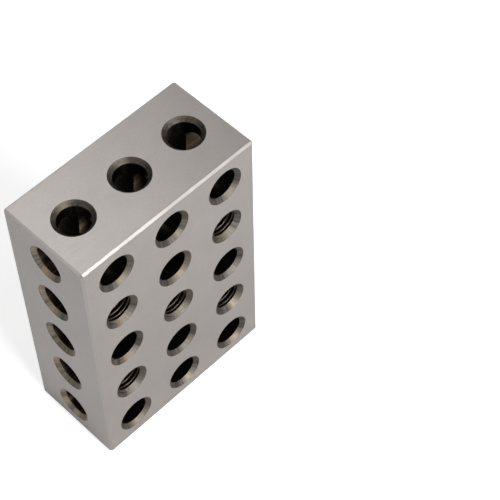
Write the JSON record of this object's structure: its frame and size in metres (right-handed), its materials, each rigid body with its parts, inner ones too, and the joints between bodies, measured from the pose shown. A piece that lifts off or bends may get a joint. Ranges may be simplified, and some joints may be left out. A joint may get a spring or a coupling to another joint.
{
  "type": "machinist setup block",
  "caption": "Ground steel block with sides of 1, 2 and 3 inches, bored through from every side and partly tapped, for raising, spacing and bolting work in machine setups.",
  "frame": {"origin": "centre of the small end that the block stands on", "axes": "+Z along the 3 inch side, X along the 2 inch side, Y along the 1 inch side; the wide faces are at -Y and +Y"},
  "size_m": [0.0508, 0.0254, 0.0762],
  "materials": {
    "ground_steel": "satin, surface ground"
  },
  "bodies": {
    "root": {"setup_block": "ground_steel"}
  },
  "joints": []
}
